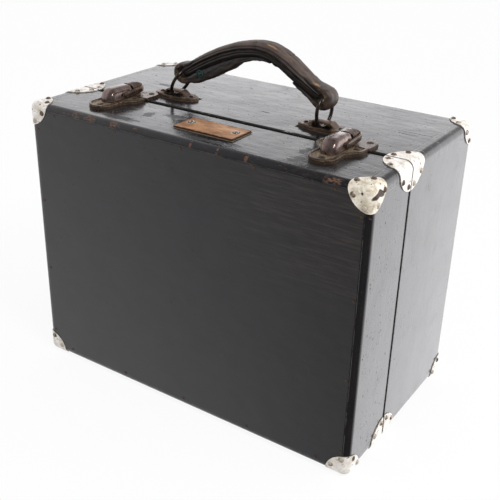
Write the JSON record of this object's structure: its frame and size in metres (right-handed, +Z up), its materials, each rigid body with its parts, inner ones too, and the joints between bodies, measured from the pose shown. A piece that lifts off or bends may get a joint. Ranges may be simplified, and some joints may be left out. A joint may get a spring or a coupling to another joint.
{
  "type": "deed box",
  "caption": "Upright wooden case for papers that opens like a small suitcase, with capped corners, two draw catches and a leather handle on rings.",
  "frame": {"origin": "middle of the footprint, on the surface that the case stands on", "axes": "+X across the front to the right, +Y from the front to the back, +Z up"},
  "size_m": [0.3442, 0.1992, 0.3224],
  "materials": {
    "painted_wood": "black paint brushed with gloss varnish",
    "cap_metal": "worn cream paint over steel",
    "rusty_nails": "brown rust",
    "catch_metal": "dull brown patina",
    "screw_steel": "dull",
    "hinge_steel": "dull",
    "copper_plate": "tarnished copper, blank",
    "plate_nails": "domed, worn bright",
    "leather": "old dark brown, worn",
    "core_steel": "plain strip",
    "ring_steel": "dark patina"
  },
  "bodies": {
    "case": {"case_top_board": "painted_wood", "case_bottom_board": "painted_wood", "case_left_board": "painted_wood", "case_right_board": "painted_wood", "back_panel": "painted_wood", "back_panel_pins": "rusty_nails", "case_corner_cap_top_left": "cap_metal", "case_corner_cap_top_right": "cap_metal", "case_corner_cap_bottom_left": "cap_metal", "case_corner_cap_bottom_right": "cap_metal", "case_seam_cap_top_left": "cap_metal", "case_seam_cap_top_right": "cap_metal", "case_seam_cap_bottom_left": "cap_metal", "case_seam_cap_bottom_right": "cap_metal", "case_cap_nails": "rusty_nails", "case_foot_nails": "rusty_nails", "left_strike": "catch_metal", "right_strike": "catch_metal", "strike_screws": "screw_steel", "left_handle_plate": "catch_metal", "right_handle_plate": "catch_metal", "handle_plate_nails": "screw_steel", "hinge_case_leaves": "hinge_steel", "hinge_pins": "hinge_steel", "hinge_case_screws": "screw_steel"},
    "lid": {"lid_top_board": "painted_wood", "lid_bottom_board": "painted_wood", "lid_left_board": "painted_wood", "lid_right_board": "painted_wood", "front_panel": "painted_wood", "front_panel_pins": "rusty_nails", "lid_corner_cap_top_left": "cap_metal", "lid_corner_cap_top_right": "cap_metal", "lid_corner_cap_bottom_left": "cap_metal", "lid_corner_cap_bottom_right": "cap_metal", "lid_seam_cap_top_left": "cap_metal", "lid_seam_cap_top_right": "cap_metal", "lid_seam_cap_bottom_left": "cap_metal", "lid_seam_cap_bottom_right": "cap_metal", "lid_cap_nails": "rusty_nails", "lid_foot_nails": "rusty_nails", "left_catch_base": "catch_metal", "right_catch_base": "catch_metal", "catch_base_screws": "screw_steel", "catch_pivot_pins": "screw_steel", "name_plate": "copper_plate", "name_plate_nails": "plate_nails", "hinge_lid_leaves": "hinge_steel", "hinge_lid_screws": "screw_steel"},
    "left_catch_lever": {"left_lever": "catch_metal", "left_loop_rivets": "screw_steel"},
    "right_catch_lever": {"right_lever": "catch_metal", "right_loop_rivets": "screw_steel"},
    "left_catch_loop": {"left_loop": "catch_metal"},
    "right_catch_loop": {"right_loop": "catch_metal"},
    "handle": {"handle_grip": "leather", "handle_core": "core_steel", "left_handle_ring": "ring_steel", "right_handle_ring": "ring_steel"}
  },
  "joints": [
    {"name": "lid_hinge", "type": "hinge", "parent": "case", "child": "lid", "pos_m": [0, -0.032, 0.0021], "axis": [1, 0, 0], "range_deg": [0, 105]},
    {"name": "left_lever_lift", "type": "hinge", "parent": "lid", "child": "left_catch_lever", "pos_m": [-0.1105, -0.04, 0.2691], "axis": [-1, 0, 0], "range_deg": [0, 90]},
    {"name": "left_loop_turn", "type": "hinge", "parent": "left_catch_lever", "child": "left_catch_loop", "pos_m": [-0.1105, -0.045, 0.2663], "axis": [-1, 0, 0], "range_deg": [-113, 1]},
    {"name": "right_lever_lift", "type": "hinge", "parent": "lid", "child": "right_catch_lever", "pos_m": [0.1125, -0.04, 0.2691], "axis": [-1, 0, 0], "range_deg": [0, 90]},
    {"name": "right_loop_turn", "type": "hinge", "parent": "right_catch_lever", "child": "right_catch_loop", "pos_m": [0.1125, -0.045, 0.2663], "axis": [-1, 0, 0], "range_deg": [-113, 1]},
    {"name": "handle_swing", "type": "hinge", "parent": "case", "child": "handle", "pos_m": [0, -0.0035, 0.2756], "axis": [1, 0, 0], "range_deg": [-85, 85]}
  ],
  "couplings": [
    {"joint": "left_loop_turn", "follows": "left_lever_lift", "ratio": -1.25},
    {"joint": "right_loop_turn", "follows": "right_lever_lift", "ratio": -1.25}
  ]
}
